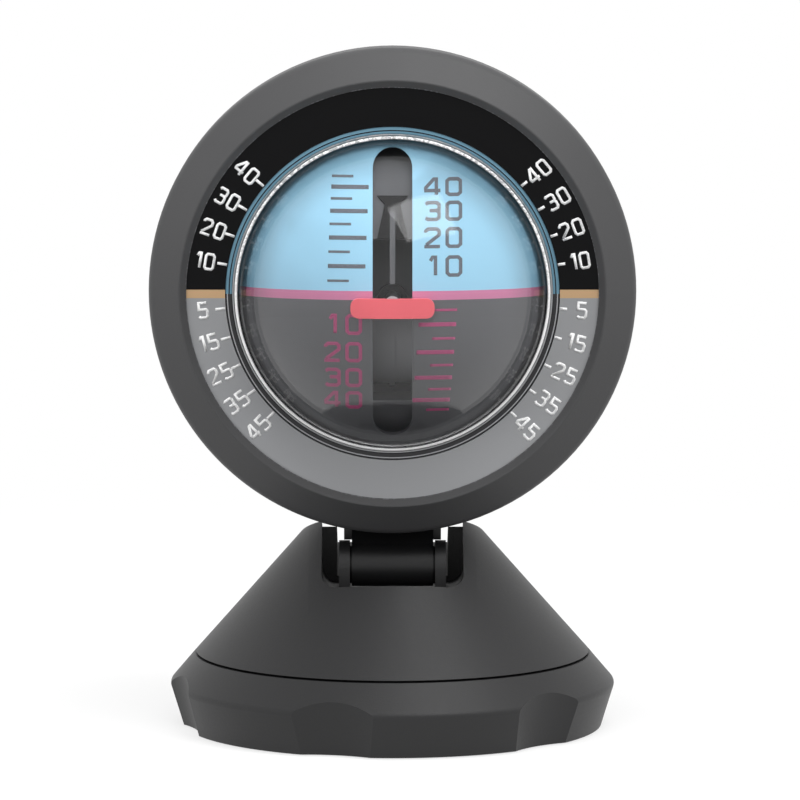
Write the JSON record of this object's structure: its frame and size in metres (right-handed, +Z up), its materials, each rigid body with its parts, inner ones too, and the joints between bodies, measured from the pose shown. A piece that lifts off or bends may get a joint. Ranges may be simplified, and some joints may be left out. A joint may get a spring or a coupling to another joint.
{
  "type": "dashboard inclinometer",
  "caption": "Dashboard inclinometer: a blue and grey horizon ball under a clear dome, in a tilting round head on a swivelling cone base.",
  "frame": {"origin": "middle of the underside of the adhesive pad", "axes": "+Z up, the dial faces -Y, +X to the right as seen from the front"},
  "size_m": [0.067, 0.0623, 0.0955],
  "materials": {
    "head_black": "matte",
    "base_charcoal": "satin",
    "dial_print": "satin",
    "clear_acrylic": "gloss",
    "seal_rubber": "matte",
    "bowl_plastic": "satin",
    "sky_blue": "satin",
    "ground_grey": "satin",
    "index_red": "satin",
    "gimbal_grey": "satin",
    "plain_steel": "satin",
    "bush_brass": "satin",
    "weight_iron": "matte",
    "pad_foam": "matte",
    "washer_nylon": "satin"
  },
  "bodies": {
    "base": {"base_ring": "base_charcoal", "base_plate": "plain_steel", "base_plate_screws": "plain_steel", "adhesive_pad": "pad_foam"},
    "pedestal_body": {"pedestal": "base_charcoal", "swivel_screw": "plain_steel", "swivel_washer": "plain_steel", "hinge_pin": "plain_steel"},
    "head": {"bezel": "head_black", "dial_ring": "dial_print", "front_dome": "clear_acrylic", "capsule_seal": "seal_rubber", "rear_bowl": "bowl_plastic", "filler_plug": "seal_rubber", "roll_shaft": "plain_steel", "shaft_nut": "plain_steel", "shaft_collars": "gimbal_grey", "index_bar": "index_red", "rear_housing": "head_black", "housing_screws": "plain_steel", "friction_washers": "washer_nylon"},
    "roll_gimbal": {"gimbal_drum": "gimbal_grey", "pitch_pins": "plain_steel"},
    "horizon_ball": {"ball_upper_shell": "sky_blue", "ball_lower_shell": "ground_grey", "pivot_bushes": "bush_brass", "ballast_weight": "weight_iron"}
  },
  "joints": [
    {"name": "swivel", "type": "hinge", "parent": "base", "child": "pedestal_body", "pos_m": [0, 0, 0.0045], "axis": [0, 0, 1], "continuous": true},
    {"name": "tilt", "type": "hinge", "parent": "pedestal_body", "child": "head", "pos_m": [0, -0.007, 0.0235], "axis": [1, 0, 0], "range_deg": [-16, 30]},
    {"name": "roll", "type": "hinge", "parent": "head", "child": "roll_gimbal", "pos_m": [0, -0.007, 0.062], "axis": [0, 1, 0], "continuous": true},
    {"name": "pitch", "type": "hinge", "parent": "roll_gimbal", "child": "horizon_ball", "pos_m": [0, -0.007, 0.062], "axis": [1, 0, 0], "range_deg": [-57, 57]}
  ]
}
